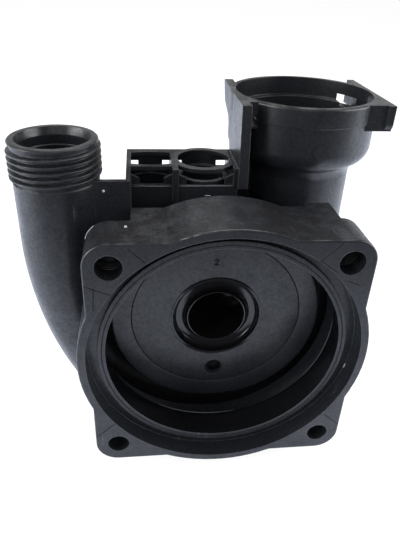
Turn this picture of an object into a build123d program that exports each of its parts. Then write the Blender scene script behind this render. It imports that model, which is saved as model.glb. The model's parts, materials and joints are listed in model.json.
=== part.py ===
"""Volute pump casing, one moulded body.

The origin lies on the pump axis, in the front face of the motor flange. +Y runs along the pump
axis into the casing, +X is to the right of someone who looks at the flange, and +Z is up, the way
that both pipe mouths face. All lengths are millimetres and all angles are degrees.
"""
import math
import os

from build123d import *

# Motor flange, with an ear round each screw
hole_spacing = 84.0
ear_radius = 9.0
ear_depth = 17.6
flange_radius = 55.6
flange_edge_round = 0.7
head_depth = 28.2
shelf_left = -34.6
right_shelf_depth = 31.2
right_shelf_left = 32.0
right_shelf_bottom = 26.0

# Screw holes: the upper pair is stepped, the lower pair is plain
upper_hole_radius = 4.8
upper_hole_depth = 11.0
upper_screw_radius = 3.0
upper_screw_end = 32.0
lower_hole_radius = 4.3
hole_chamfer = 0.5

# Seat of the motor: a groove round a standing lip
seat_radius = 52.4
groove_depth = 7.4
lip_outer_radius = 48.5
lip_inner_radius = 45.5
lip_depth = 5.6

# Impeller chamber, which widens to the ridge where the scroll opens
ridge_radius = 48.0
ridge_depth = 19.9
gap_radius = 50.0
gap_depth = 36.0
gap_floor_radius = 48.0

# Wear disc round the suction eye
disc_radius = 44.8
disc_edge_depth = 27.5
disc_edge_round = 1.4
disc_flat_radius = 35.8
disc_depth = 28.3
eye_radius = 18.5
eye_ring_width = 0.9
eye_ring_height = 0.3
eye_wall_depth = 29.1
eye_groove_depth = 32.2
throat_radius = 12.0
throat_tube_radius = 12.5
throat_lip_depth = 28.5
dimple_radius = 2.95
dimple_drop = 26.9
dimple_depth = 2.2

# Scroll: a horn of round section that grows clockwise from the tongue to the outlet
scroll_depth = 35.9
scroll_start_angle = 118.0
scroll_sweep = 274.0
scroll_sections = 12
scroll_growth = 1.6
scroll_start_radius = 44.5
scroll_end_radius = 52.3
scroll_start_bore = 3.0
wall = 3.0
hub_back = 45.0
hub_outline = [(53.0, 32.0), (51.0, 36.0), (47.8, 39.5), (45.0, 45.0)]

# Outlet pipe, which leaves the scroll in one long bend and then runs straight up
outlet_x = -61.2
outlet_radius = 15.6
outlet_bend_top = 37.0
outlet_top = 75.1
outlet_mouth_radius = 13.5
outlet_mouth_chamfer = 3.0
outlet_ledge_drop = 6.6
outlet_ledge_radius = 11.9

# Pipe thread on the outlet
thread_pitch = 2.309
thread_turns = 4.9
thread_start_angle = 108.0
thread_gap = 0.3
thread_crest_radius = 16.62
thread_root_radius = 15.14
thread_root_width = 1.9
thread_crest_width = 0.5
thread_sink = 0.5
thread_end = 60.0
lead_radius = 15.9
lead_length = 1.0

# Frame with two clip ports
frame_left = -36.1
frame_right = 7.0
frame_inner_left = -34.4
frame_inner_right = 5.4
frame_front = 40.0
frame_back = 63.6
frame_top = 61.5
frame_foot = 27.0
frame_wall = 1.7
sill_height = 54.6
sill_floor = 51.0
frame_lid = 1.6
slot_top = 57.3
leg_way_front = 45.5
leg_slots = [(-34.4, -31.5), (-21.5, -18.5), (-16.2, -13.3), (1.2, 5.4)]
divider_left = -18.5
divider_right = -16.2
divider_front = 39.2
port_floor = 44.0
port_bottom = 42.0
left_port_x = -26.45
left_port_y = 52.75
left_port_radius = 7.7
left_port_wall = 1.5
left_cup_top = 52.5
left_ledge_left = -31.0
left_ledge_right = -21.5
left_ledge_front = 42.8
left_ledge_back = 44.4
left_ledge_top = 54.0
left_bar_front = 43.2
left_mouth_front = 45.1
left_mouth_back = 60.4
left_mouth_round = 27.7
right_port_x = -5.4
right_port_y = 52.3
right_port_radius = 10.45
right_port_wall = 2.6
right_port_ledge = 8.6
right_port_ledge_height = 55.6
ramp_width = 3.2
ramp_height = 4.2
ramp_slope = 1.6
ramp_back = 43.0
bar_groove_width = 0.5
bar_groove_depth = 0.6
bar_groove_inset = 0.7

# Web between the frame and the outlet pipe
web_thickness = 2.0
web_top = 61.4
web_bottom = 20.0
web_left = -58.0

# Socket for a clipped fitting
socket_x = 37.1
socket_y = 67.5
socket_top = 85.2
socket_radius = 28.2
collar_radius = 30.5
collar_bottom = 77.7
rim_round = 0.9
ledge_height = 77.4
ledge_radius = 25.2
bowl_radius = 30.2
bowl_corner = 62.0
bowl_round = 7.5
bowl_floor = 64.0
bowl_foot = 60.5
neck_radius = 23.2
neck_top = 58.0
neck_round = 6.0
floor_round = 4.0
neck_bore = 20.2
neck_bottom = -18.0
neck_floor = -15.0
neck_end_round = 6.0

# Rails and lugs beside the socket, with the channels that its clip slides in
left_rail_left = 7.0
left_rail_right = 10.7
left_rail_front = 41.5
left_rail_outline = [(41.5, 85.2), (88.0, 85.2), (83.8, 77.3), (72.6, 73.5), (66.8, 66.6),
                     (64.5, 61.3), (64.5, 54.0), (38.0, 54.0)]
left_web_right = 16.0
left_web_front = 58.0
left_web_back = 64.5
left_web_bottom = 27.0
left_web_top = 76.0
left_lug_right = 20.0
left_lug_front = 47.5
left_lug_bottom = 75.0
right_rail_left = 64.0
right_rail_right = 66.9
right_rail_front = 43.0
right_rail_back = 91.0
right_rail_bottom = 75.3
right_rail_round = 3.0
right_lug_left = 54.0
right_lug_front = 44.0
lug_back = 60.0
channel_bottom = 76.0
channel_top = 80.2
left_channel_right = 14.4
right_channel_left = 58.5
right_channel_front = 60.0
left_channel_front = 40.0
channel_back = 98.0

# Duct from the foot of the socket's neck to the eye
duct_radius = 15.0
duct_bend_radius = 18.0
duct_turn_depth = 52.0

# Rear pocket behind the wear disc, with stiffening ribs
pocket_floor = 32.0
pocket_inner_radius = 20.0
pocket_outer_radius = 41.2
rib_count = 8
rib_thickness = 2.2
rib_back = 43.5

# Cuts pass this far beyond a face
clearance = 1.0

half_spacing = hole_spacing / 2
ear_half_width = half_spacing + ear_radius
outlet_bore = outlet_radius - wall


def slab(outline, near, far):
    """Gives an outline, drawn as seen from the front, a thickness from depth near to depth far."""
    return extrude(Plane.XZ.offset(-near) * outline, amount=far - near, dir=(0, 1, 0))


def block(left, right, near, far, bottom, top):
    """Makes a box from its six faces."""
    centre = ((left + right) / 2, (near + far) / 2, (bottom + top) / 2)
    return Pos(*centre) * Box(right - left, far - near, top - bottom)


def post(x, y, radius, bottom, top):
    """Makes an upright cylinder."""
    return Pos(x, y, (bottom + top) / 2) * Cylinder(radius, top - bottom)


def drum(x, z, radius, near, far):
    """Makes a cylinder that lies along the pump axis."""
    return Pos(x, (near + far) / 2, z) * Rot(90, 0, 0) * Cylinder(radius, far - near)


def turned(points):
    """Turns a closed profile of radius and depth about the pump axis."""
    return revolve(make_face(Plane.XY * Polyline(*points, close=True)), Axis.Y)


def turned_upright(x, y, profile):
    """Turns a profile of radius and height about an upright axis."""
    return Pos(x, y, 0) * revolve(Plane.XZ * profile, Axis.Z)


def polar(angle, radius):
    """Gives X and Z of a point at an angle from +X, as seen from the front."""
    return radius * math.cos(math.radians(angle)), radius * math.sin(math.radians(angle))


def make_head():
    """Flange with its ears, the round head behind it and the flat shelves on its top."""
    ears = RectangleRounded(2 * ear_half_width, 2 * ear_half_width, ear_radius)
    flange = slab(ears + Circle(flange_radius), 0, ear_depth)
    front_edges = flange.edges().group_by(Axis.Y)[0]
    flange = fillet(front_edges, flange_edge_round)
    head = drum(0, 0, flange_radius, ear_depth / 2, head_depth)
    left_shelf = block(shelf_left, 0, ear_depth / 2, head_depth, 0, ear_half_width)
    right_shelf = block(0, half_spacing, ear_depth / 2, head_depth, 0, ear_half_width)
    raised_shelf = block(right_shelf_left, half_spacing, head_depth / 2, right_shelf_depth,
                         right_shelf_bottom, ear_half_width)
    return flange + head + left_shelf + right_shelf + raised_shelf


def make_hub():
    """Ring wall round the chamber and, behind it, the hub that carries the wear disc."""
    widest = hub_outline[0][0]
    return turned([(0, ear_depth), (widest, ear_depth)] + hub_outline + [(0, hub_back)])


def outlet_bend():
    """Centre line of the outlet's long bend, from the foot of its straight run to the scroll."""
    end_x, end_z = polar(scroll_start_angle - scroll_sweep, scroll_end_radius)
    return TangentArc((outlet_x, scroll_depth, outlet_bend_top), (end_x, scroll_depth, end_z),
                      tangent=(0, 0, -1))


def scroll_horn(extra):
    """Lofts the scroll's horn through sections that grow with the angle swept."""
    sections = []
    for step in range(scroll_sections - 1):
        share = step / (scroll_sections - 1)
        grown = share ** scroll_growth
        angle = scroll_start_angle - share * scroll_sweep
        radius = scroll_start_radius + grown * (scroll_end_radius - scroll_start_radius)
        bore = scroll_start_bore + grown * (outlet_bore - scroll_start_bore)
        x, z = polar(angle, radius)
        outward_x, outward_z = polar(angle, 1)
        plane = Plane(origin=(x, scroll_depth, z), x_dir=(outward_x, 0, outward_z),
                      z_dir=(outward_z, 0, -outward_x))
        sections.append(plane * Circle(bore + extra))
    bend = outlet_bend()
    leaving = -(bend % 1)
    last = Plane(origin=bend @ 1, x_dir=(-leaving.Z, 0, leaving.X), z_dir=leaving)
    sections.append(last * Circle(outlet_bore + extra))
    return loft(sections)


def outlet_tube(radius, top):
    """Runs a round section down from the outlet and along its long bend into the scroll."""
    bend = outlet_bend()
    section = Plane(origin=bend @ 0, z_dir=bend % 0) * Circle(radius)
    return post(outlet_x, scroll_depth, radius, outlet_bend_top, top) + sweep(section, path=bend)


def make_outlet():
    """Outlet pipe with its threaded end and the plain lead above the thread."""
    pipe = outlet_tube(outlet_radius, thread_end)
    core = post(outlet_x, scroll_depth, thread_root_radius, thread_end - clearance, outlet_top)
    lead = post(outlet_x, scroll_depth, lead_radius, outlet_top - lead_length, outlet_top)
    lead = chamfer(lead.edges().group_by(Axis.Z)[-1], hole_chamfer)
    return pipe + core + lead + make_thread()


def make_thread():
    """Helical ridge of the pipe thread."""
    bottom = thread_end + thread_gap + thread_root_width / 2
    spiral = Pos(outlet_x, scroll_depth, bottom) * Rot(0, 0, thread_start_angle) * Helix(
        pitch=thread_pitch, height=thread_pitch * thread_turns, radius=thread_root_radius)
    outward = (*polar(thread_start_angle, 1), 0)
    start = Plane(origin=spiral @ 0, x_dir=outward, z_dir=spiral % 0)
    tall = thread_crest_radius - thread_root_radius
    ridge = Polygon((-thread_sink, -thread_root_width / 2), (0, -thread_root_width / 2),
                    (tall, -thread_crest_width / 2), (tall, thread_crest_width / 2),
                    (0, thread_root_width / 2), (-thread_sink, thread_root_width / 2), align=None)
    return sweep(start * ridge, path=spiral, is_frenet=True)


def make_socket():
    """Collar, bowl and neck of the large socket, as one turned shape."""
    points = [(0, neck_bottom), (neck_radius, neck_bottom), (neck_radius, neck_top),
              (bowl_radius, bowl_corner), (bowl_radius, collar_bottom),
              (collar_radius, collar_bottom), (collar_radius, socket_top), (0, socket_top)]
    profile = make_face(Polyline(*points, close=True))
    profile = fillet(nearest_corner(profile, points[1]), neck_end_round)
    profile = fillet(nearest_corner(profile, points[2]), neck_round)
    profile = fillet(nearest_corner(profile, points[3]), bowl_round)
    profile = fillet(nearest_corner(profile, points[6]), rim_round)
    return turned_upright(socket_x, socket_y, profile)


def nearest_corner(profile, point):
    """Finds the corner of a flat profile that lies nearest a point."""
    return profile.vertices().sort_by_distance((point[0], point[1], 0))[0]


def socket_void():
    """Bore of the socket, its ledge and the bore of the neck, down to a rounded floor."""
    points = [(0, neck_floor), (neck_bore, neck_floor), (neck_bore, bowl_foot),
              (ledge_radius, bowl_floor), (ledge_radius, ledge_height),
              (socket_radius, ledge_height), (socket_radius, socket_top + clearance),
              (0, socket_top + clearance)]
    profile = make_face(Polyline(*points, close=True))
    profile = fillet(nearest_corner(profile, points[1]), floor_round)
    profile = fillet(nearest_corner(profile, points[3]), floor_round)
    return turned_upright(socket_x, socket_y, profile)


def make_rails():
    """Rail on each side of the socket, with the lugs and the web that tie them to it."""
    left_outline = Plane.YZ.offset(left_rail_left) * Polygon(*left_rail_outline, align=None)
    left_rail = extrude(left_outline, amount=left_rail_right - left_rail_left, dir=(1, 0, 0))
    left_web = block(left_rail_left, left_web_right, left_web_front, left_web_back,
                     left_web_bottom, left_web_top)
    left_lug = block(left_rail_left, left_lug_right, left_lug_front, lug_back, left_lug_bottom,
                     socket_top)
    right_rail = block(right_rail_left, right_rail_right, right_rail_front, right_rail_back,
                       right_rail_bottom, socket_top)
    front_foot = right_rail.edges().filter_by(Axis.X).group_by(Axis.Y)[0].sort_by(Axis.Z)[0]
    right_rail = fillet(front_foot, right_rail_round)
    right_lug = block(right_lug_left, right_rail_right, right_lug_front, lug_back,
                      right_rail_bottom, socket_top)
    return left_rail + left_web + left_lug + right_rail + right_lug


def clip_channels():
    """Channels through the lugs and the collar that the fitting's clip slides in."""
    left = block(left_rail_right, left_channel_right, left_channel_front, channel_back,
                 channel_bottom, channel_top)
    right = block(right_channel_left, right_rail_left, right_channel_front, channel_back,
                  channel_bottom, channel_top)
    return left + right


def make_frame():
    """Frame round the two clip ports, open in front above its sill."""
    shell = block(frame_left, frame_right, frame_front, frame_back, port_bottom, frame_top)
    room = block(frame_inner_left, frame_inner_right, frame_front - clearance,
                 frame_back - frame_wall, sill_floor, frame_top + clearance)
    under = block(frame_inner_left, frame_inner_right, frame_front - clearance,
                  frame_back - frame_wall, port_bottom - clearance, sill_floor - wall)
    left_wall = block(frame_left, frame_inner_left, head_depth, frame_back, frame_foot, frame_top)
    front_wall = block(frame_left, frame_right, frame_front, frame_front + frame_wall,
                       frame_foot, sill_height)
    divider = block(divider_left, divider_right, divider_front, frame_back, sill_floor - wall,
                    frame_top)
    right_side = block(frame_inner_right, frame_right, frame_front, frame_back, frame_foot,
                       frame_top)
    return (shell - room - under + left_wall + front_wall + divider + right_side + make_cups()
            + make_ramps())


def make_cups():
    """Cups of the two ports with the mouths that close them in at the top."""
    left_lid = block(frame_inner_left, divider_left, left_bar_front, frame_back,
                     frame_top - frame_lid, frame_top)
    left_cup = post(left_port_x, left_port_y, left_port_radius + left_port_wall, port_bottom,
                    left_cup_top)
    left_cup = left_cup & block(frame_left, divider_right, frame_front, frame_back, port_bottom,
                                frame_top)
    right_lid = block(divider_right, frame_inner_right, right_port_y, frame_back,
                      frame_top - frame_lid, frame_top)
    left_ledge = block(left_ledge_left, left_ledge_right, left_ledge_front, left_ledge_back,
                       sill_floor, left_ledge_top)
    right_cup = post(right_port_x, right_port_y, right_port_radius, port_bottom,
                     right_port_ledge_height)
    right_ring = post(right_port_x, right_port_y, right_port_radius + right_port_wall,
                      frame_top - frame_lid, frame_top)
    right_ring = right_ring & block(divider_right - clearance, frame_right, frame_front - wall,
                                    frame_back + wall, port_bottom, frame_top)
    return left_lid + left_cup + left_ledge + right_lid + right_cup + right_ring


def make_ramps():
    """Ramps that guide the legs of the port clips, in the lower corners of both windows."""
    low = sill_floor
    tall = sill_height + ramp_height
    ramps = []
    for side, wall_x in ((1, frame_inner_left), (-1, divider_left), (1, divider_right),
                         (-1, frame_inner_right)):
        tip = wall_x + side * ramp_width
        outline = Polygon((wall_x, low), (tip, low), (tip, tall - ramp_slope), (wall_x, tall),
                          align=None)
        ramps.append(slab(outline, frame_front + frame_wall, ramp_back))
    return ramps[0] + ramps[1] + ramps[2] + ramps[3]


def left_mouth():
    """Mouth of the left port: straight at both sides, gently bowed in front and at the back."""
    below, above = frame_top - frame_lid - clearance, frame_top + clearance
    opening = block(frame_inner_left, divider_left, left_mouth_front, left_mouth_back, below,
                    above)
    front_bow = post(left_port_x, left_mouth_front + left_mouth_round, left_mouth_round, below,
                     above)
    back_bow = post(left_port_x, left_mouth_back - left_mouth_round, left_mouth_round, below,
                    above)
    return opening & front_bow & back_bow


def port_voids():
    """Bores of the two ports, the ways for the legs of their clips and the bar's groove."""
    left_bore = post(left_port_x, left_port_y, left_port_radius, port_floor,
                     left_cup_top + clearance)
    right_bore = post(right_port_x, right_port_y, right_port_radius, right_port_ledge_height,
                      frame_top + clearance)
    right_well = post(right_port_x, right_port_y, right_port_ledge, port_floor, frame_top)
    voids = left_mouth() + left_bore + right_bore + right_well
    for left, right in leg_slots:
        voids += block(left, right, leg_way_front, frame_back - frame_wall, sill_height,
                       frame_top - frame_lid)
        voids += block(left, right, leg_way_front, frame_back + clearance, sill_height, slot_top)
    middle = (frame_inner_right + frame_right) / 2
    voids += block(middle - bar_groove_width / 2, middle + bar_groove_width / 2,
                   frame_front + bar_groove_inset, frame_back - bar_groove_inset,
                   frame_top - bar_groove_depth, frame_top + clearance)
    return voids


def make_web():
    """Thin web between the frame and the outlet pipe."""
    return block(web_left, frame_inner_left, head_depth, head_depth + web_thickness, web_bottom,
                 web_top)


def make_duct(radius):
    """Runs a round section from the eye to the neck of the socket."""
    route = FilletPolyline((0, pocket_floor, 0), (0, duct_turn_depth, 0),
                           (socket_x, socket_y, 0), radius=duct_bend_radius)
    section = Plane(origin=route @ 0, z_dir=route % 0) * Circle(radius)
    return sweep(section, path=route)


def chamber_void():
    """Motor seat, impeller chamber and the gap round the wear disc, in one turned shape."""
    points = [(0, -clearance), (seat_radius, -clearance), (seat_radius, groove_depth),
              (lip_outer_radius, groove_depth), (lip_outer_radius, lip_depth),
              (lip_inner_radius, lip_depth), (ridge_radius, ridge_depth),
              (gap_radius, ridge_depth + clearance), (gap_floor_radius, gap_depth),
              (disc_radius, gap_depth), (disc_radius, disc_edge_depth),
              (disc_flat_radius, disc_depth), (0, disc_depth)]
    profile = make_face(Polyline(*points, close=True))
    profile = fillet(nearest_corner(profile, (disc_radius, disc_edge_depth)), disc_edge_round)
    return revolve(profile, Axis.Y)


def eye_void():
    """Rounded groove round the throat, the throat itself and the dimple under them."""
    near = disc_depth - clearance
    middle = (eye_radius + throat_tube_radius) / 2
    rim = Polyline((0, hub_back), (0, near), (eye_radius, near), (eye_radius, eye_wall_depth))
    bottom = ThreePointArc((eye_radius, eye_wall_depth), (middle, eye_groove_depth),
                           (throat_tube_radius, eye_wall_depth))
    tube = Polyline((throat_tube_radius, eye_wall_depth), (throat_tube_radius, throat_lip_depth),
                    (throat_radius, throat_lip_depth), (throat_radius, hub_back), (0, hub_back))
    groove = revolve(make_face(rim + bottom + tube), Axis.Y)
    return groove + drum(0, -dimple_drop, dimple_radius, near, disc_depth + dimple_depth)


def make_eye_ring():
    """Thin raised ring round the eye."""
    return turned([(eye_radius, disc_depth - eye_ring_height),
                   (eye_radius + eye_ring_width, disc_depth - eye_ring_height),
                   (eye_radius + eye_ring_width, disc_depth + clearance),
                   (eye_radius, disc_depth + clearance)])


def screw_holes():
    """Stepped holes in the upper ears and plain holes in the lower ears."""
    holes = []
    for side in (-1, 1):
        x = side * half_spacing
        holes.append(drum(x, half_spacing, upper_hole_radius, -clearance, upper_hole_depth))
        holes.append(drum(x, half_spacing, upper_screw_radius, 0, upper_screw_end))
        holes.append(drum(x, -half_spacing, lower_hole_radius, -clearance,
                          ear_depth + clearance))
    return holes


def rear_pocket():
    """Pocket behind the wear disc, divided by radial ribs."""
    pocket = turned([(pocket_inner_radius, pocket_floor), (pocket_outer_radius, pocket_floor),
                     (pocket_outer_radius, hub_back + wall), (pocket_inner_radius,
                                                              hub_back + wall)])
    for number in range(rib_count):
        rib = block(pocket_inner_radius - wall, pocket_outer_radius + wall, pocket_floor, rib_back,
                    -rib_thickness / 2, rib_thickness / 2)
        pocket -= Rot(0, number * 360 / rib_count, 0) * rib
    return pocket


def outlet_void():
    """Bore of the outlet with its ledge and its chamfered mouth."""
    ledge = outlet_top - outlet_ledge_drop
    bore = outlet_tube(outlet_bore, ledge - wall)
    throat = post(outlet_x, scroll_depth, outlet_ledge_radius, ledge - wall - clearance, ledge)
    points = [(0, ledge), (outlet_bore, ledge), (outlet_bore, outlet_top - outlet_mouth_chamfer),
              (outlet_mouth_radius, outlet_top), (outlet_mouth_radius, outlet_top + clearance),
              (0, outlet_top + clearance)]
    mouth = turned_upright(outlet_x, scroll_depth, make_face(Polyline(*points, close=True)))
    return bore + throat + mouth


def make_casing():
    """Joins the walls, then opens the chamber, the scroll, the bores and the holes."""
    rear_hub = drum(0, 0, disc_radius, disc_edge_depth, hub_back + wall)
    body = make_head() + make_hub() + scroll_horn(wall) + make_outlet()
    body = body + make_duct(duct_radius) + make_socket() + make_rails()
    body = body + make_frame() + make_web()
    body = body - rear_pocket()
    body = body - chamber_void() + make_eye_ring() - eye_void()
    body = body - (scroll_horn(0) + outlet_void() - rear_hub)
    body = body - make_duct(throat_radius) - socket_void() - clip_channels() - port_voids()
    for hole in screw_holes():
        body = body - hole
    return body


if __name__ == "__main__":
    os.makedirs("parts", exist_ok=True)
    export_step(make_casing(), "parts/pump_casing.step")
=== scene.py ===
"""Shows the moulded pump casing in its black plastic, on a pale table, as it stands on a shelf.

Everything is in metres, in the casing's own frame: +Y runs along the pump axis into the casing
and +Z is up, the way that its pipe mouths face.
"""
from __future__ import annotations

import json
import logging
import math
from dataclasses import dataclass
from enum import Enum
from functools import cached_property
from typing import Any

import bmesh
import bpy
from mathutils import Matrix, Vector


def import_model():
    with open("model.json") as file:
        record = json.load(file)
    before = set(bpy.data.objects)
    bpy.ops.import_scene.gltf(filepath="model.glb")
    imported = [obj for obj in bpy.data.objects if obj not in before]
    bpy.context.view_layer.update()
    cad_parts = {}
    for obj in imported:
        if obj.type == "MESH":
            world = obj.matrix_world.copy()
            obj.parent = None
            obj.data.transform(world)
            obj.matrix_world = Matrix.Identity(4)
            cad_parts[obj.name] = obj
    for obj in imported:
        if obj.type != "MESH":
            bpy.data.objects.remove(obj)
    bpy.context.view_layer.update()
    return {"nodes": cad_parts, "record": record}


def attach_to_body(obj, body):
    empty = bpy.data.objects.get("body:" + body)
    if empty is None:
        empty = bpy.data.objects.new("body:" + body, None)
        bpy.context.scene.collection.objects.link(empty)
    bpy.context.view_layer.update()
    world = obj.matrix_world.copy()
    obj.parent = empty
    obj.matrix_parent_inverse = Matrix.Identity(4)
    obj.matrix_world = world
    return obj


CASING_NODE = "pump_casing"
UPPER_SCREWS = "upper_screws"
MILLIMETRE = 0.001
BACK_TO_FRONT = (0.0, -1.0, 0.0)
NOISE_ROUGHNESS = 0.6

Color = tuple[float, float, float]
Place = tuple[float, float, float]
Pair = tuple[float, float]

log = logging.getLogger("casing")


def opaque(color: Color) -> tuple[float, float, float, float]:
    """Adds a full alpha to a colour."""
    return (*color, 1.0)


def grey(level: float) -> tuple[float, float, float, float]:
    """Gives an opaque grey."""
    return opaque((level, level, level))


@dataclass(frozen=True)
class Casing:
    """Sizes of the casing that its finish and its small pieces follow.

    Radii and heights are from the pump axis, and depths are from the flange's front face.
    """

    screw_side: float
    screw_height: float
    screw_radius: float
    lip_radius: float = 0.0485
    lip_depth: float = 0.0056
    ridge_radius: float = 0.0480
    ridge_depth: float = 0.0199
    disc_flat_radius: float = 0.0358
    disc_depth: float = 0.0283
    eye_radius: float = 0.0185

    @classmethod
    def from_frame(cls, record: dict[str, Any]) -> Casing:
        """Reads the casing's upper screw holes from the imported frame.

        Args:
            record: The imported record.

        Returns:
            The casing's sizes.
        """
        screws = next(mount for mount in record["mounts"] if mount["name"] == UPPER_SCREWS)
        return cls(screw_side=screws["dims"]["spacing_x_mm"] / 2 * MILLIMETRE,
                   screw_height=screws["pos_m"][2],
                   screw_radius=screws["dims"]["hole_r_mm"] * MILLIMETRE)


class Socket:
    """Wraps an output socket, so that shader maths reads as Python expressions."""

    def __init__(self, tree: bpy.types.NodeTree, output: bpy.types.NodeSocket) -> None:
        """Keeps the tree and the socket that the value comes from.

        Args:
            tree: Node tree that new Math nodes go into.
            output: Socket that holds the value.
        """
        self.tree = tree
        self.output = output

    def _math(self, operation: str, *values: Socket | float, clamp: bool = False) -> Socket:
        """Adds one Math node.

        Args:
            operation: Blender's name of the operation.
            values: Numbers or sockets, in the order of the node's inputs.
            clamp: Whether the result is kept between 0 and 1.

        Returns:
            The node's result.
        """
        node = self.tree.nodes.new("ShaderNodeMath")
        node.operation = operation
        node.use_clamp = clamp
        for index, value in enumerate(values):
            if isinstance(value, Socket):
                self.tree.links.new(value.output, node.inputs[index])
            else:
                node.inputs[index].default_value = value
        return Socket(self.tree, node.outputs[0])

    def __add__(self, other: Socket | float) -> Socket:
        """Adds a number or a socket."""
        return self._math("ADD", self, other)

    def __radd__(self, other: Socket | float) -> Socket:
        """Adds this to a number."""
        return self._math("ADD", other, self)

    def __sub__(self, other: Socket | float) -> Socket:
        """Takes a number or a socket away."""
        return self._math("SUBTRACT", self, other)

    def __rsub__(self, other: Socket | float) -> Socket:
        """Takes this away from a number."""
        return self._math("SUBTRACT", other, self)

    def __mul__(self, other: Socket | float) -> Socket:
        """Multiplies by a number or a socket."""
        return self._math("MULTIPLY", self, other)

    def __rmul__(self, other: Socket | float) -> Socket:
        """Multiplies a number by this."""
        return self._math("MULTIPLY", other, self)

    def size(self) -> Socket:
        """Gives the value without its sign."""
        return self._math("ABSOLUTE", self)

    def root(self) -> Socket:
        """Gives the square root."""
        return self._math("SQRT", self)

    def clamp(self) -> Socket:
        """Keeps the value between 0 and 1."""
        return self._math("ADD", self, 0.0, clamp=True)


class NodeWork:
    """A node tree, with one method that adds any node."""

    def __init__(self, tree: bpy.types.NodeTree) -> None:
        """Empties a tree.

        Args:
            tree: Node tree of a material or of the world.
        """
        self.tree = tree
        self.tree.nodes.clear()

    def node(self, kind: str, settings: dict[str, Any] | None = None, output: int | str = 0,
             **sockets: Any) -> Socket | None:
        """Adds a node.

        Args:
            kind: Node type without its ShaderNode prefix.
            settings: Properties that are set before the sockets, a ramp's stops among them.
            output: Name or number of the output that is wanted.
            sockets: Values or links, by the input's name with underscores for its spaces, or by
                in and the input's number.

        Returns:
            The wanted output, or nothing where the node has none.
        """
        made = self.tree.nodes.new("ShaderNode" + kind)
        for key, value in (settings or {}).items():
            if key == "stops":
                self._set_stops(made.color_ramp, value)
            else:
                setattr(made, key, value)
        for key, value in sockets.items():
            self._feed(made, key.replace("_", " "), value)
        return Socket(self.tree, made.outputs[output]) if made.outputs else None

    def _feed(self, made: bpy.types.Node, name: str, value: Any) -> None:
        """Sets or links one input, which is named, or numbered with in and its number.

        Args:
            made: Node that takes the value.
            name: Input's name, or in followed by its number.
            value: Number, tuple or socket.
        """
        by_number = name[:2] == "in" and name[2:].isdigit()
        place = made.inputs[int(name[2:])] if by_number else made.inputs[name]
        if isinstance(value, Socket):
            self.tree.links.new(value.output, place)
        else:
            place.default_value = value

    @staticmethod
    def _set_stops(ramp: bpy.types.ColorRamp, stops: tuple[Pair, ...]) -> None:
        """Sets a ramp's grey stops.

        Args:
            ramp: Ramp to set.
            stops: Position and grey level of each stop.
        """
        while len(ramp.elements) > 1:
            ramp.elements.remove(ramp.elements[-1])
        first = ramp.elements[0]
        first.position = stops[0][0]
        first.color = grey(stops[0][1])
        for place, level in stops[1:]:
            ramp.elements.new(place).color = grey(level)

    def mix(self, share: Socket | float, low: Color | Socket, high: Color | Socket,
            blend: str = "MIX") -> Socket:
        """Blends two colours, each a plain colour or a socket.

        Args:
            share: Share of the second colour.
            low: First colour.
            high: Second colour.
            blend: Blender's name of the way that they are blended.

        Returns:
            The blend.
        """
        low, high = (value if isinstance(value, Socket) else opaque(value) for value in (low, high))
        # The colours are the inputs 6 and 7 of this node, and their blend is its output 2
        settings = {"data_type": "RGBA", "blend_type": blend}
        return self.node("Mix", settings, output=2, in0=share, in6=low, in7=high)

    def parts(self, vector: Socket) -> tuple[Socket, Socket, Socket]:
        """Splits a vector into its three numbers."""
        split = self.node("SeparateXYZ", Vector=vector).output.node
        return tuple(Socket(self.tree, output) for output in split.outputs)


@dataclass(frozen=True)
class Spots:
    """A noise pattern cut at a level: its cells in a metre, finer layers, level and soft edge.

    A stretch along the axes makes streaks of it, which the turn slants.
    """

    scale: float
    detail: float
    level: float
    blend: float
    stretch: Place = (1.0, 1.0, 1.0)
    turn: Place = (0.0, 0.0, 0.0)


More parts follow.
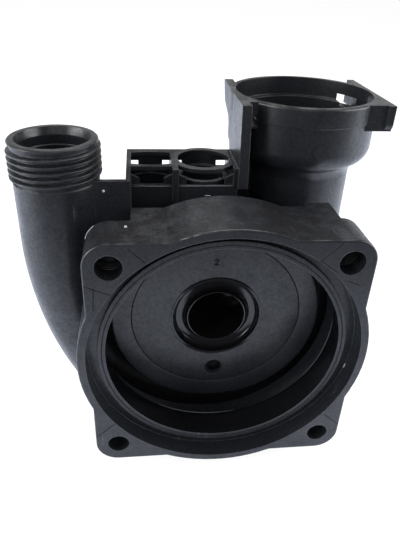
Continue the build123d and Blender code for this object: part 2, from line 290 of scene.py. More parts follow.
class Shader(NodeWork):
    """A material's node tree, with the masks that its marks are drawn with."""

    def __init__(self, name: str) -> None:
        """Makes an empty material.

        Args:
            name: Name of the material.
        """
        self.material = bpy.data.materials.new(name)
        self.material.use_nodes = True
        super().__init__(self.material.node_tree)
        self.place = self.node("TexCoord", output="Object")
        self.x, self.y, self.z = self.parts(self.place)

    @cached_property
    def radius(self) -> Socket:
        """Distance from the pump axis."""
        return (self.x * self.x + self.z * self.z).root()

    @cached_property
    def normal(self) -> Socket:
        """Way that the surface faces."""
        return self.node("NewGeometry", output="Normal")

    @cached_property
    def facing(self) -> tuple[Socket, Socket, Socket]:
        """Way that the surface faces, as three numbers."""
        return self.parts(self.normal)

    def cloud(self, scale: float, detail: float = 2.0, place: Socket | None = None) -> Socket:
        """Adds a noise pattern.

        Args:
            scale: Cells in a metre.
            detail: Number of finer layers.
            place: Coordinates that it lies on, which are the object's own where none are given.

        Returns:
            Noise from 0 to 1.
        """
        return self.node("TexNoise", Vector=place or self.place, Scale=scale, Detail=detail,
                         Roughness=NOISE_ROUGHNESS)

    def spots(self, pattern: Spots) -> Socket:
        """Marks a pattern's spots or streaks.

        Args:
            pattern: Pattern that is drawn.

        Returns:
            Mask from 0 to 1.
        """
        place = self.node("Mapping", Vector=self.place, Rotation=pattern.turn, Scale=pattern.stretch)
        return self.above(self.cloud(pattern.scale, pattern.detail, place), pattern.level,
                          pattern.blend)

    def near(self, value: Socket, middle: float, reach: float) -> Socket:
        """Marks where a value lies near a middle, with a soft edge.

        Args:
            value: Value that is tested.
            middle: Value that is marked fully.
            reach: Distance at which the mark ends.

        Returns:
            Mask from 0 to 1.
        """
        return (1.0 - (value - middle).size() * (1.0 / reach)).clamp()

    def above(self, value: Socket, level: float, blend: float) -> Socket:
        """Marks where a value is above a level, over a blend."""
        return ((value - level) * (1.0 / blend)).clamp()

    def away(self, middle: Place) -> Socket:
        """Gives the distance from a point."""
        return self.node("VectorMath", {"operation": "DISTANCE"}, output="Value", in0=self.place,
                         in1=middle)

    def line(self, start: Pair, end: Pair, width: float) -> Socket:
        """Marks a straight line on the flange's face.

        Args:
            start: X and Z of one end.
            end: X and Z of the other end.
            width: Half of the line's width.

        Returns:
            Mask from 0 to 1.
        """
        run = Vector(end) - Vector(start)
        along = run.normalized()
        half = run.length / 2
        way = (self.x - start[0]) * along.x + (self.z - start[1]) * along.y
        aside = (self.z - start[1]) * along.x - (self.x - start[0]) * along.y
        inside = (self.near(way, half, half + width) * (half / width)).clamp()
        return inside * self.near(aside, 0.0, width)

    def finish(self, surface: Socket) -> bpy.types.Material:
        """Feeds the material's output.

        Args:
            surface: Shader that the surface shows.

        Returns:
            The material.
        """
        self.node("OutputMaterial", Surface=surface)
        return self.material


@dataclass(frozen=True)
class Dust:
    """Pale dust that lies in blotches on the tops and in a few specks everywhere."""

    rise: float = 0.45
    rise_blend: float = 0.40
    height: float = 0.038
    height_blend: float = 0.004
    blotches: Spots = Spots(110.0, 5.0, 0.44, 0.22)
    specks: Spots = Spots(1300.0, 1.0, 0.64, 0.06)
    blotch_share: float = 0.65
    stray_share: float = 0.22

    def tops(self, shader: Shader) -> Socket:
        """Marks the faces that look up, high on the casing."""
        rising = shader.above(shader.facing[2], self.rise, self.rise_blend)
        return rising * shader.above(shader.z, self.height, self.height_blend)

    def mask(self, shader: Shader, tops: Socket) -> Socket:
        """Marks the dust.

        Args:
            shader: Material that it goes into.
            tops: Mask of the faces that look up.

        Returns:
            Mask from 0 to 1.
        """
        specks = shader.spots(self.specks)
        lying = shader.spots(self.blotches) * self.blotch_share + specks
        return (tops * lying + specks * self.stray_share).clamp()


@dataclass(frozen=True)
class EdgeWearAndHighlight:
    """Edges painted pale, partly as wear and partly as a painted highlight, and the short slanting
    scuffs that handling leaves.
    """

    edge_radius: float = 0.00035
    edge_samples: int = 8
    turn: float = 0.03
    turn_blend: float = 0.15
    uneven_scale: float = 330.0
    uneven_detail: float = 3.0
    least: float = 0.35
    uneven: float = 0.90
    streaks: Spots = Spots(700.0, 2.0, 0.62, 0.08, stretch=(1.0, 1.0, 0.07), turn=(0.5, 0.7, 0.3))
    handled: Spots = Spots(38.0, 1.0, 0.59, 0.08)
    scuff_share: float = 0.40

    def rounded(self, shader: Shader) -> Socket:
        """Gives the normal with its edges rounded."""
        return shader.node("Bevel", {"samples": self.edge_samples}, Radius=self.edge_radius)

    def edges(self, shader: Shader, rounded: Socket) -> Socket:
        """Marks the pale edges, partly worn and partly a painted highlight, where the rounded normal
        turns away from the real one.

        Args:
            shader: Material that they go into.
            rounded: Normal with its edges rounded.

        Returns:
            Mask from 0 to 1.
        """
        same = shader.node("VectorMath", {"operation": "DOT_PRODUCT"}, output="Value", in0=rounded,
                           in1=shader.normal)
        patchy = self.least + shader.cloud(self.uneven_scale, self.uneven_detail) * self.uneven
        return shader.above(1.0 - same, self.turn, self.turn_blend) * patchy

    def scuffs(self, shader: Shader) -> Socket:
        """Marks the scuffs, in the places where the casing is handled."""
        return shader.spots(self.streaks) * shader.spots(self.handled) * self.scuff_share


@dataclass(frozen=True)
class Mottle:
    """Where the gloss is broken: a fine and a broad mottle all over, and patches on the tops."""

    patches: Spots = Spots(120.0, 5.0, 0.26, 0.36)
    fine: Spots = Spots(900.0, 4.0, 0.40, 0.22)
    broad: Spots = Spots(160.0, 5.0, 0.44, 0.20)
    patch_share: float = 0.30
    side_share: float = 0.66
    fine_share: float = 0.30
    broad_share: float = 0.16
    sides_middle: float = -0.004
    sides_out: float = 0.027
    sides_reach: float = 0.018
    sides_gain: float = 1.8

    def mask(self, shader: Shader, tops: Socket) -> Socket:
        """Marks the dull spots, with stronger patches to both sides of the tops' middle.

        Args:
            shader: Material that they go into.
            tops: Mask of the faces that look up.

        Returns:
            Mask that starts at 0.
        """
        out = (shader.x - self.sides_middle).size()
        sides = (shader.near(out, self.sides_out, self.sides_reach) * self.sides_gain).clamp()
        patches = tops * shader.spots(self.patches) * (self.patch_share + sides * self.side_share)
        return (patches + shader.spots(self.fine) * self.fine_share
                + shader.spots(self.broad) * self.broad_share)


@dataclass(frozen=True)
class Polish:
    """Walls that come smooth off a polished core: the chamber and the eye, but not the disc. The
    material also paints them near black: painted shade in these recesses.
    """

    blend: float = 0.0003
    front_margin: float = 0.0002
    back: float = 0.060
    back_blend: float = 0.001
    disc_facing: float = 0.8
    disc_facing_blend: float = 0.1
    eye_margin: float = 0.0001
    groove_margin: float = 0.0011
    groove_front: float = 0.0021
    groove_blend: float = 0.0004
    groove_turn: float = -0.003
    groove_turn_blend: float = 0.006
    groove_shade_share: float = 0.92

    def mask(self, shader: Shader, casing: Casing) -> Socket:
        """Marks the smooth walls.

        Args:
            shader: Material that they go into.
            casing: Sizes of the casing.

        Returns:
            Mask from 0 to 1.
        """
        inside = 1.0 - shader.above(shader.radius, casing.lip_radius, self.blend)
        past_lip = shader.above(shader.y, casing.lip_depth + self.front_margin, self.blend)
        past_back = shader.above(shader.y, self.back, self.back_blend)
        forward = shader.above(shader.facing[1] * -1.0, self.disc_facing, self.disc_facing_blend)
        past_eye = shader.above(shader.radius, casing.eye_radius + self.eye_margin, self.blend)
        return inside * past_lip * (1.0 - past_back) * (1.0 - forward * past_eye)

    def groove(self, shader: Shader, casing: Casing) -> Socket:
        """Marks the top and the bottom of the groove round the throat, which are made dull and darker:
        painted shade.

        Args:
            shader: Material that they go into.
            casing: Sizes of the casing.

        Returns:
            Mask from 0 to 1.
        """
        outside = shader.above(shader.radius, casing.eye_radius + self.groove_margin,
                               self.groove_blend)
        deep = shader.above(shader.y, casing.disc_depth - self.groove_front, self.blend)
        upright = shader.above(shader.z.size() - shader.x.size(), self.groove_turn,
                               self.groove_turn_blend)
        return (1.0 - outside) * deep * upright * self.groove_shade_share


@dataclass(frozen=True)
class MouldMarks:
    """Marks of the mould: joint lines on the flange, two turned rings, a pin's ring, the dimple."""

    line_width: float = 0.0003
    line_reach: float = 0.0006
    lines: tuple[tuple[Pair, Pair], ...] = (
        ((-0.0353, 0.0493), (-0.0299, 0.0439)),
        ((-0.0503, 0.0351), (-0.0413, 0.0312)),
        ((-0.0474, 0.0342), (-0.0480, 0.0251)),
        ((0.0372, 0.0501), (0.0303, 0.0432)),
        ((0.0303, 0.0432), (0.0371, 0.0386)),
        ((0.0415, 0.0348), (0.0463, 0.0329)),
        ((-0.0505, -0.0374), (-0.0430, -0.0305)),
        ((-0.0300, -0.0408), (-0.0292, -0.0433)),
        ((0.0434, -0.0312), (0.0512, -0.0384)))
    disc_ring_width: float = 0.00035
    lip_ring_radius: float = 0.0469
    lip_ring_width: float = 0.0003
    ring_reach: float = 0.0012
    ring_gain: float = 4.0
    pin_middle: Place = (0.0373, 0.0373, 0.0689)
    pin_radius: float = 0.0031
    pin_width: float = 0.0003
    pin_share: float = 0.8
    dimple_drop: float = 0.0278
    dimple_radius: float = 0.0038
    dimple_blend: float = 0.0002

    def mask(self, shader: Shader, casing: Casing) -> Socket:
        """Marks what the mould's joints and pins leave.

        Args:
            shader: Material that it goes into.
            casing: Sizes of the casing.

        Returns:
            Mask from 0 to 1.
        """
        lines = sum(shader.line(start, end, self.line_width) for start, end in self.lines)
        total = shader.near(shader.y, 0.0, self.line_reach) * lines
        for radius, depth, width in (
                (casing.disc_flat_radius, casing.disc_depth, self.disc_ring_width),
                (self.lip_ring_radius, casing.lip_depth, self.lip_ring_width)):
            band = (shader.near(shader.y, depth, self.ring_reach) * self.ring_gain).clamp()
            total = total + shader.near(shader.radius, radius, width) * band
        pin = shader.near(shader.away(self.pin_middle), self.pin_radius, self.pin_width)
        dimple = shader.away((0.0, casing.disc_depth, -self.dimple_drop))
        inside = 1.0 - shader.above(dimple, self.dimple_radius, self.dimple_blend)
        return (total + pin * self.pin_share + inside).clamp()


@dataclass(frozen=True)
class Grain:
    """Fine relief of the moulded surface: grains, pits and low waves."""

    depth: float = 0.00002
    strength: float = 0.5
    grain_scale: float = 1500.0
    grain_share: float = 0.35
    pit_scale: float = 700.0
    pit_share: float = 0.9
    wave_scale: float = 260.0
    wave_share: float = 0.8
    smooth_loss: float = 0.8
    mark_share: float = 6.0

    def bump(self, shader: Shader, rounded: Socket, smooth: Socket, marks: Socket) -> Socket:
        """Gives the normal with the relief on it.

        Args:
            shader: Material that it goes into.
            rounded: Normal that it starts from.
            smooth: Mask of the polished walls, which have less grain.
            marks: Mask of the mould's marks, which are sunk in.

        Returns:
            The normal.
        """
        grains = shader.cloud(self.grain_scale) * self.grain_share
        pits = shader.cloud(self.pit_scale) * self.pit_share
        waves = shader.cloud(self.wave_scale) * self.wave_share
        relief = (grains + pits) * (1.0 - smooth * self.smooth_loss) + waves - marks * self.mark_share
        return shader.node("Bump", Strength=self.strength, Distance=self.depth, Height=relief,
                           Normal=rounded)


@dataclass(frozen=True)
class BlackPlastic:
    """Black glass-filled nylon as it leaves the mould: semi-gloss, mottled where dust settles."""

    color: Color = (0.0080, 0.0090, 0.0114)
    # Near black for the polished chamber and eye walls: painted shade in these recesses.
    recess_shade_color: Color = (0.0020, 0.0022, 0.0028)
    dust_color: Color = (0.031, 0.036, 0.042)
    # Pale grey of worn edges and scuffs; on the edges it is partly a painted highlight.
    worn_and_highlight_color: Color = (0.085, 0.088, 0.096)
    # Dark matte colour of the marks and the mottle, and of the painted shade in the eye's groove.
    dull_and_shade_color: Color = (0.004, 0.004, 0.005)
    recess_shade_share: float = 0.85
    worn_and_highlight_share: float = 0.80
    worn_and_highlight_loss: float = 0.55
    roughness: float = 0.30
    dull_roughness: float = 0.6
    dull_specular: float = 0.12
    uneven_scale: float = 70.0
    uneven_detail: float = 4.0
    uneven: float = 0.12
    dust_roughness: float = 0.12
    scuff_roughness: float = 0.08
    mark_roughness: float = 0.20
    smooth_gloss: float = 0.14
    mottle_loss: float = 0.7
    dust: Dust = Dust()
    wear: EdgeWearAndHighlight = EdgeWearAndHighlight()
    mottle: Mottle = Mottle()
    polish: Polish = Polish()
    joints: MouldMarks = MouldMarks()
    grain: Grain = Grain()

    def build(self, casing: Casing) -> bpy.types.Material:
        """Builds the material, glossy where it isn't dull.

        Args:
            casing: Sizes of the casing.

        Returns:
            The material.
        """
        shader = Shader("black_plastic")
        tops = self.dust.tops(shader)
        dust = self.dust.mask(shader, tops)
        marks = self.joints.mask(shader, casing)
        smooth = self.polish.mask(shader, casing)
        scuffs = self.wear.scuffs(shader)
        rounded = self.wear.rounded(shader)
        bump = self.grain.bump(shader, rounded, smooth, marks)
        # Pale edges: partly wear, partly painted highlight, with less of it on the polished walls.
        edges = self.wear.edges(shader, rounded) * (self.worn_and_highlight_share - smooth * self.worn_and_highlight_loss)
        # The polished chamber and eye walls are painted near black: painted shade in these recesses.
        color = shader.mix(smooth * self.recess_shade_share, self.color, self.recess_shade_color)
        color = shader.mix(dust, color, self.dust_color)
        color = shader.mix((edges + scuffs * (1.0 - smooth)).clamp(), color, self.worn_and_highlight_color)
        uneven = (shader.cloud(self.uneven_scale, self.uneven_detail) - 0.5) * self.uneven
        rough = (self.roughness + uneven + dust * self.dust_roughness + scuffs * self.scuff_roughness
                 + marks * self.mark_roughness - smooth * self.smooth_gloss)
        mottle = self.mottle.mask(shader, tops) * (1.0 - smooth * self.mottle_loss)
        # The groove mask makes the top and bottom of the eye's groove dull and darker: painted shade.
        # The marks and the mottle are the plastic's own.
        dull = (marks + mottle + self.polish.groove(shader, casing)).clamp()
        glossy = shader.node("BsdfPrincipled", Base_Color=color, Roughness=rough, Normal=bump)
        matte = shader.node("BsdfPrincipled", Base_Color=opaque(self.dull_and_shade_color), Normal=bump,
                            Roughness=self.dull_roughness, Specular_IOR_Level=self.dull_specular)
        return shader.finish(shader.node("MixShader", in0=dull, in1=glossy, in2=matte))


@dataclass(frozen=True)
class RoughPlastic:
    """The same plastic without its gloss, in one plain colour, which stands for flash, nibs and a
    scratch, and also for painted glints, painted highlights and painted shade.
    """

    name: str
    color: Color
    roughness: float = 0.6
    grain_scale: float = 2500.0
    uneven: float = 0.2
    specular: float = 0.15

    def build(self) -> bpy.types.Material:
        """Builds the material.

        Returns:
            The material.
        """
        shader = Shader(self.name)
        rough = self.roughness + (shader.cloud(self.grain_scale) - 0.5) * self.uneven
        return shader.finish(shader.node("BsdfPrincipled", Base_Color=opaque(self.color),
                                         Roughness=rough, Specular_IOR_Level=self.specular))


class RoughFinish(Enum):
    """Plain matte finishes: partly real flash and a scratch, partly painted glints, painted highlights
    and painted shade.
    """

    # Pale: stress-whitened flash and nibs, and painted glints.
    TORN_AND_GLINT = RoughPlastic("torn_edge_and_glint", (0.30, 0.31, 0.33))
    # Mid grey: painted highlights along the ridge and the sills, and a scratch.
    BARE_AND_HIGHLIGHT = RoughPlastic("bare_edge_and_highlight", (0.10, 0.10, 0.11), roughness=0.35)
    # Near black: painted shade of the cavity number.
    CUT = RoughPlastic("digit_painted_shade", (0.0035, 0.0035, 0.0042))


def as_object(name: str, mesh: bmesh.types.BMesh) -> bpy.types.Object:
    """Turns a finished bmesh into an object at the origin.

    Args:
        name: Name of the object and its mesh.
        mesh: Finished bmesh, which is freed.

    Returns:
        The object, linked to the scene.
    """
    data = bpy.data.meshes.new(name)
    mesh.to_mesh(data)
    mesh.free()
    made = bpy.data.objects.new(name, data)
    bpy.context.scene.collection.objects.link(made)
    return made


def attach(piece: bpy.types.Object, finish: bpy.types.Material) -> None:
    """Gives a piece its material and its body.

    Args:
        piece: Piece at its place.
        finish: Material of the piece.
    """
    piece.data.materials.append(finish)
    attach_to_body(piece, "root")
    log.info("%s rides on the casing", piece.name)


def keep(name: str, mesh: bmesh.types.BMesh, finish: bpy.types.Material) -> None:
    """Turns a mesh into a smooth piece that rides on the casing.

    Args:
        name: Name of the piece.
        mesh: Finished bmesh.
        finish: Material of the piece.
    """
    piece = as_object(name, mesh)
    piece.data.polygons.foreach_set("use_smooth", [True] * len(piece.data.polygons))
    attach(piece, finish)


def edges_between(mesh: bmesh.types.BMesh,
                  verts: list[bmesh.types.BMVert]) -> list[bmesh.types.BMEdge]:
    """Finds the edges that join some vertices, in the mesh's own order."""
    chosen = set(verts)
    return [edge for edge in mesh.edges if chosen.issuperset(edge.verts)]


def sweep(mesh: bmesh.types.BMesh, profile: list[bmesh.types.BMVert], middle: Place, angle: float,
          steps: int, rise: float = 0.0) -> None:
    """Sweeps a closed profile round an axis that runs along Y, and closes both ends.

    Args:
        mesh: Mesh that holds the profile.
        profile: Vertices of the profile, which its edges join.
        middle: Point on the axis.
        angle: Angle of the sweep, in radians from +X towards +Z.
        steps: Number of steps.
        rise: Way along the axis at each step.
    """
    bmesh.ops.spin(mesh, geom=profile + edges_between(mesh, profile), cent=middle,
                   axis=BACK_TO_FRONT, angle=angle, steps=steps, dvec=(0.0, rise, 0.0))
    bmesh.ops.holes_fill(mesh, edges=mesh.edges, sides=len(profile))
    bmesh.ops.recalc_face_normals(mesh, faces=mesh.faces)


@dataclass(frozen=True)
class HoleThreads:
    """Fine thread deep in both upper screw holes, as one ridge on a helix, sunk into the wall."""

    start: float = 0.0065
    end: float = 0.0112
    pitch: float = 0.00115
    height: float = 0.00042
    clearance: float = 0.00005
    sink_share: float = 0.3
    foot_share: float = 0.42
    crest_share: float = 0.10
    steps_a_turn: int = 40

    def build(self, casing: Casing, finish: bpy.types.Material) -> None:
        """Builds the thread of each hole.

        Args:
            casing: Sizes of the casing.
            finish: Material of the casing.
        """
        for number, side in enumerate((-casing.screw_side, casing.screw_side), 1):
            middle = (side, self.start, casing.screw_height)
            mesh = self._thread(middle, casing.screw_radius - self.clearance)
            keep("hole_thread_%d" % number, mesh, finish)

    def _thread(self, middle: Place, radius: float) -> bmesh.types.BMesh:
        """Makes one hole's thread.

        Args:
            middle: Point on the hole's axis where the thread starts.
            radius: Radius at the ridge's foot.

        Returns:
            The ridge's mesh.
        """
        foot, crest = self.foot_share * self.pitch, self.crest_share * self.pitch
        inner, outer = radius - self.height, radius + self.height * self.sink_share
        mesh = bmesh.new()
        profile = [mesh.verts.new(Vector(middle) + Vector((out, along, 0.0))) for out, along in
                   ((outer, -foot), (inner, -crest), (inner, crest), (outer, foot))]
        for vert, following in zip(profile, profile[1:] + profile[:1]):
            mesh.edges.new((vert, following))
        steps = int((self.end - self.start) / self.pitch * self.steps_a_turn)
        step_angle = 2.0 * math.pi / self.steps_a_turn
        sweep(mesh, profile, middle, step_angle * steps, steps, self.pitch / self.steps_a_turn)
        return mesh


@dataclass(frozen=True)
class MouldNibsAndGlints:
    """Two small domed nibs, one on the web's front and one on the left shelf, pale: partly a painted
    glint.
    """

    places: tuple[Place, ...] = ((-0.0441, 0.0282, 0.0577), (-0.0362, 0.0125, 0.0510))
    radius: float = 0.00055
    segments: int = 16
    rings: int = 10

    def build(self, finish: bpy.types.Material) -> None:
        """Builds the nibs as one piece.

        Args:
            finish: Material of the piece.
        """
        mesh = bmesh.new()
        for place in self.places:
            bmesh.ops.create_uvsphere(mesh, u_segments=self.segments, v_segments=self.rings,
                                      radius=self.radius, matrix=Matrix.Translation(place))
        keep("mould_nibs_and_glints", mesh, finish)


@dataclass(frozen=True)
class Sliver:
    """A thin sliver of flash, as a chain of bevelled bars through its points."""

    thickness: float
    points: tuple[Place, ...]
    bevel_share: float = 0.3
    bevel_segments: int = 2
    bevel_profile: float = 0.0

    def add(self, mesh: bmesh.types.BMesh) -> None:
        """Adds the sliver to a mesh.

        Args:
            mesh: Mesh that takes it.
        """
        for start, end in zip(self.points, self.points[1:]):
            run = Vector(end) - Vector(start)
            turn = run.to_track_quat("Z", "Y").to_matrix().to_4x4()
            size = Matrix.Diagonal((self.thickness, self.thickness, run.length + self.thickness, 1.0))
            middle = Matrix.Translation((Vector(start) + Vector(end)) / 2)
            made = bmesh.ops.create_cube(mesh, size=1.0, matrix=middle @ turn @ size)
            bmesh.ops.bevel(mesh, geom=edges_between(mesh, made["verts"]), affect="EDGES",
                            offset=self.thickness * self.bevel_share,
                            segments=self.bevel_segments, profile=self.bevel_profile,
                            material=-1)


@dataclass(frozen=True)
class MouldFlashAndGlint:
    """Pale slivers: stress-whitened flash in the seat and on the frame's front, and a painted
    highlight along the upper left ear's back edge.
    """

    seat: Sliver = Sliver(0.00045, ((0.0508, 0.0069, -0.0120), (0.0511, 0.0069, -0.0101)))
    frame: Sliver = Sliver(0.00025, ((-0.00565, 0.0399, 0.0506), (-0.00366, 0.0399, 0.0506)))
    # Painted highlight along the ear's rounded back edge.
    ear: Sliver = Sliver(0.00028, (
        (-0.0474, 0.0172, 0.0492), (-0.0486, 0.0172, 0.0481), (-0.0496, 0.0172, 0.0469),
        (-0.0503, 0.0172, 0.0455), (-0.0507, 0.0172, 0.0443)))

    def build(self, finish: bpy.types.Material) -> None:
        """Builds the slivers as one piece.

        Args:
            finish: Material of the piece.
        """
        mesh = bmesh.new()
        for sliver in (self.seat, self.frame, self.ear):
            sliver.add(mesh)
        keep("mould_flash_and_glint", mesh, finish)


@dataclass(frozen=True)
class RidgeHighlight:
    """Painted highlight along the ridge round the disc, as two pale arcs that thin out at their ends.
    """

    arcs: tuple[tuple[float, float, float], ...] = ((-121.0, -78.0, 0.00017), (-38.0, 4.0, 0.00012))
    inset: float = 0.00004
    depth_margin: float = 0.0001
    sides: int = 8
    steps: int = 60
    end_share: float = 0.15
    fullness: float = 0.6

    def build(self, casing: Casing, finish: bpy.types.Material) -> None:
        """Builds both arcs as one piece.

        Args:
            casing: Sizes of the casing.
            finish: Material of the piece.
        """
        path = Vector((casing.ridge_radius - self.inset, casing.ridge_depth + self.depth_margin, 0.0))
        mesh = bmesh.new()
        for start, end, thickness in self.arcs:
            done = set(mesh.verts)
            placed = Matrix.Rotation(-math.radians(start), 4, "Y") @ Matrix.Translation(path)
            made = bmesh.ops.create_circle(mesh, segments=self.sides, radius=thickness, matrix=placed)
            sweep(mesh, made["verts"], (0.0, 0.0, 0.0), math.radians(end - start), self.steps)
            for vert in mesh.verts:
                if vert not in done:
                    self._thin(vert, path, math.radians(start), math.radians(end))
        keep("ridge_highlight", mesh, finish)

    def _thin(self, vert: bmesh.types.BMVert, path: Vector, start: float, end: float) -> None:
        """Moves a vertex towards the middle of its arc's section, more so near the arc's ends.

        Args:
            vert: Vertex to move.
            path: Middle of the section at angle 0.
            start: Angle where the arc starts, in radians.
            end: Angle where it ends.
        """
        angle = math.atan2(vert.co.z, vert.co.x)
        share = min(max((angle - start) / (end - start), 0.0), 1.0)
        size = self.end_share + (1.0 - self.end_share) * math.sin(math.pi * share) ** self.fullness
        middle = Vector((path.x * math.cos(angle), path.y, path.x * math.sin(angle)))
        vert.co = middle + (vert.co - middle) * size


@dataclass(frozen=True)
class SharpEdges:
    """Pale lines on sharp edges: painted highlights along the sills of the frame's two windows, and a
    scratch on the right shelf.
    """

    slivers: tuple[Sliver, ...] = (
        # Painted highlights along the two sills.
        Sliver(0.00026, ((-0.0342, 0.0400, 0.0546), (-0.0187, 0.0400, 0.0546))),
        Sliver(0.00034, ((-0.0160, 0.0400, 0.0546), (0.0053, 0.0400, 0.0546))),
        Sliver(0.00012, ((0.0357, 0.0088, 0.0510), (0.0364, 0.0042, 0.0510))))

    def build(self, finish: bpy.types.Material) -> None:
        """Builds the edges as one piece.

        Args:
            finish: Material of the piece.
        """
        mesh = bmesh.new()
        for sliver in self.slivers:
            sliver.add(mesh)
        keep("sill_highlights_and_scratch", mesh, finish)


@dataclass(frozen=True)
class CavityNumber:
    """The cavity number, a plain 2, as one thin raised stroke on the wear disc, drawn near black:
    painted shade.
    """

    points: tuple[Pair, ...] = (
        (-0.88, 0.75), (-0.70, 1.42), (0.30, 1.62), (0.98, 1.05), (0.62, 0.25), (-0.35, -0.55),
        (-0.95, -1.32), (-0.93, -1.36), (0.10, -1.36), (1.00, -1.36))
    across: float = -0.00115
    up: float = 0.0268
    size: float = 0.00080
    width: float = 0.00026
    sink: float = 0.00002
    bevel_steps: int = 2
    curve_steps: int = 6
    order: int = 3

    def build(self, casing: Casing, finish: bpy.types.Material) -> None:
        """Builds the stroke.

        Args:
            casing: Sizes of the casing.
            finish: Material of the stroke.
        """
        curve = bpy.data.curves.new("cavity_number", "CURVE")
        curve.dimensions = "3D"
        curve.bevel_depth = self.width
        curve.bevel_resolution = self.bevel_steps
        curve.resolution_u = self.curve_steps
        stroke = curve.splines.new("NURBS")
        stroke.points.add(len(self.points) - 1)
        for point, (across, up) in zip(stroke.points, self.points):
            point.co = (self.across + across * self.size, casing.disc_depth - self.sink,
                        self.up + up * self.size, 1.0)
        stroke.order_u = self.order
        stroke.use_endpoint_u = True
        piece = bpy.data.objects.new("cavity_number", curve)
        bpy.context.scene.collection.objects.link(piece)
        attach(piece, finish)


@dataclass(frozen=True)
class Table:
    """Pale table that the casing stands on, white in the picture's background."""

    level: float = -0.0622
    half_width: float = 4.0
    reach: float = 0.30
    front_shade_greys: tuple[Pair, ...] = ((0.0, 0.10), (0.25, 0.45), (0.37, 0.98), (0.6, 1.0))
    tint: Color = (0.80, 0.86, 1.0)
    shade: float = 0.25
    glow: float = 0.83

    def build(self) -> None:
        """Builds the table just under the casing."""
        mesh = bmesh.new()
        lowered = Matrix.Translation((0.0, 0.0, self.level))
        bmesh.ops.create_grid(mesh, x_segments=1, y_segments=1, size=self.half_width, matrix=lowered)
        top = as_object("table_top", mesh)
        top.data.materials.append(self._finish())
        log.info("%s set", top.name)

    def _finish(self) -> bpy.types.Material:
        """Makes the table's paper, white to the camera but for the casing's soft shadow.

        Returns:
            The material.
        """
        shader = Shader("table_white")
        # For all but camera rays the paper is painted darker towards the front: painted shade.
        backward = shader.above(shader.y, -self.reach, 2 * self.reach)
        tone = shader.node("ValToRGB", {"stops": self.front_shade_greys}, Fac=backward)
        lit = shader.node("BsdfDiffuse", Color=shader.mix(1.0, tone, self.tint, "MULTIPLY"))
        seen = shader.node("BsdfDiffuse", Color=grey(self.shade))
        glow = shader.node("Emission", Color=grey(1.0), Strength=self.glow)
        paper = shader.node("AddShader", in0=seen, in1=glow)
        camera = shader.node("LightPath", output="Is Camera Ray")
        return shader.finish(shader.node("MixShader", in0=camera, in1=lit, in2=paper))


class LampSide(Enum):
    """Where a soft lamp hangs, as a direction from the casing's middle."""

    TOP = (0.05, 0.25, 1.0)
    LEFT = (-1.0, -0.30, 0.40)
    RIGHT = (1.0, -0.25, 0.40)
    FRONT = (-0.15, -1.0, 0.45)


@dataclass(frozen=True)
class Studio:
    """Plain soft light from above, from both sides and from the front."""

    powers: tuple[tuple[LampSide, float], ...] = (
        (LampSide.TOP, 8.0), (LampSide.LEFT, 11.0), (LampSide.RIGHT, 8.5), (LampSide.FRONT, 1.2))
    middle: Place = (-0.005, 0.045, 0.010)
    distance: float = 0.9
    lamp_size: float = 0.8
    soft_stops: tuple[Pair, ...] = ((0.0, 0.85), (0.5, 0.6), (1.0, 0.35))
    gloss_stops: tuple[Pair, ...] = ((0.0, 0.12), (0.30, 0.25), (0.48, 0.85), (0.7, 1.0))
    ceiling: float = 0.62
    ceiling_start: float = 0.15
    ceiling_slope: float = 4.0
    backdrop: float = 1.12

    def build(self) -> None:
        """Hangs the lamps and sets the world."""
        for side, power in self.powers:
            self._lamp(side, power)
        self._world()
        log.info("studio lit")

    def _lamp(self, side: LampSide, power: float) -> None:
        """Hangs one soft lamp that faces the casing.

        Args:
            side: Direction that it hangs in.
            power: Power in watts.
        """
        data = bpy.data.lights.new("lamp_" + side.name.lower(), "AREA")
        data.shape = "DISK"
        data.size = self.lamp_size
        data.energy = power
        lamp = bpy.data.objects.new(data.name, data)
        bpy.context.scene.collection.objects.link(lamp)
        away = Vector(side.value).normalized()
        lamp.location = Vector(self.middle) + away * self.distance
        lamp.rotation_euler = away.to_track_quat("Z", "Y").to_euler()

    def _world(self) -> None:
        """Sets the world: white to the camera, and dimmer in front and above for gloss."""
        world = bpy.data.worlds.new("studio")
        bpy.context.scene.world = world
        world.use_nodes = True
        work = NodeWork(world.node_tree)
        ahead, up = work.parts(work.node("TexCoord", output="Generated"))[1:]
        backward = (0.5 + ahead * 0.5).clamp()
        overhead = ((up - self.ceiling_start) * self.ceiling_slope).clamp()
        soft = work.node("ValToRGB", {"stops": self.soft_stops}, Fac=backward)
        wall = work.node("ValToRGB", {"stops": self.gloss_stops}, Fac=backward)
        lit = work.node("Background", Color=soft, Strength=1.0)
        shown = work.node("Background", Color=wall * (1.0 - overhead * self.ceiling),
                          Strength=self.backdrop)
        plain = work.node("Background", Color=grey(1.0), Strength=1.0)
        gloss = work.node("LightPath", output="Is Glossy Ray")
        camera = work.node("LightPath", output="Is Camera Ray")
        surround = work.node("MixShader", in0=gloss, in1=lit, in2=shown)
        work.node("OutputWorld", Surface=work.node("MixShader", in0=camera, in1=surround, in2=plain))


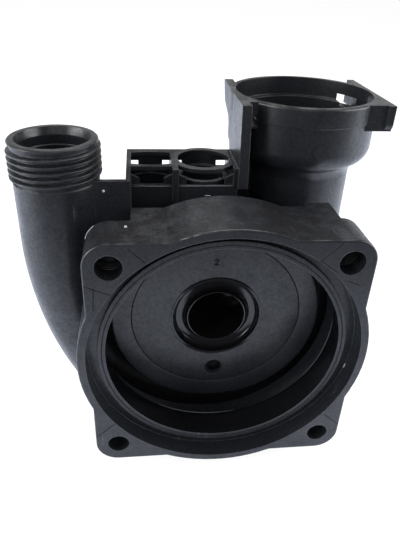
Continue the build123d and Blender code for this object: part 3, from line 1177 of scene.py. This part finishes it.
@dataclass(frozen=True)
class Viewpoint:
    """Camera that looks at the casing from the motor's side, from above and a little from the left."""

    place: Place = (-0.030936, -0.151371, 0.133077)
    yaw: float = -0.12751
    pitch: float = 0.53756
    roll: float = 0.0436
    lens: float = 35.71
    nearest: float = 0.005

    def build(self) -> None:
        """Places the camera."""
        turn, dip, tilt = self.yaw, self.pitch, self.roll
        level = Vector((math.cos(turn), math.sin(turn), 0.0))
        ahead = Vector((-math.sin(turn) * math.cos(dip), math.cos(turn) * math.cos(dip),
                        -math.sin(dip)))
        upward = level.cross(ahead)
        right = level * math.cos(tilt) + upward * math.sin(tilt)
        up = upward * math.cos(tilt) - level * math.sin(tilt)
        data = bpy.data.cameras.new("viewpoint")
        data.lens = self.lens
        data.clip_start = self.nearest
        camera = bpy.data.objects.new("viewpoint", data)
        bpy.context.scene.collection.objects.link(camera)
        matrix = Matrix((right, up, -ahead)).transposed().to_4x4()
        matrix.translation = Vector(self.place)
        camera.matrix_world = matrix
        bpy.context.scene.camera = camera


def dress(node: bpy.types.Object, finish: bpy.types.Material) -> None:
    """Gives the casing's own node its material.

    Args:
        node: Node of the frame.
        finish: Material that replaces its plain one.
    """
    node.data.materials.clear()
    node.data.materials.append(finish)
    log.info("%s dressed", node.name)


def main() -> None:
    """Loads the casing, dresses it, and sets the table, the light and the camera."""
    logging.basicConfig(level=logging.INFO)
    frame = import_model()
    bpy.context.scene.view_settings.view_transform = "Standard"
    casing = Casing.from_frame(frame["record"])
    plastic = BlackPlastic().build(casing)
    torn_and_glint, bare_and_highlight, digit_shade = (finish.value.build() for finish in RoughFinish)
    dress(frame["nodes"][CASING_NODE], plastic)
    HoleThreads().build(casing, plastic)
    MouldNibsAndGlints().build(torn_and_glint)
    MouldFlashAndGlint().build(torn_and_glint)
    RidgeHighlight().build(casing, bare_and_highlight)
    SharpEdges().build(bare_and_highlight)
    CavityNumber().build(casing, digit_shade)
    Table().build()
    Studio().build()
    Viewpoint().build()


if __name__ == "__main__":
    main()
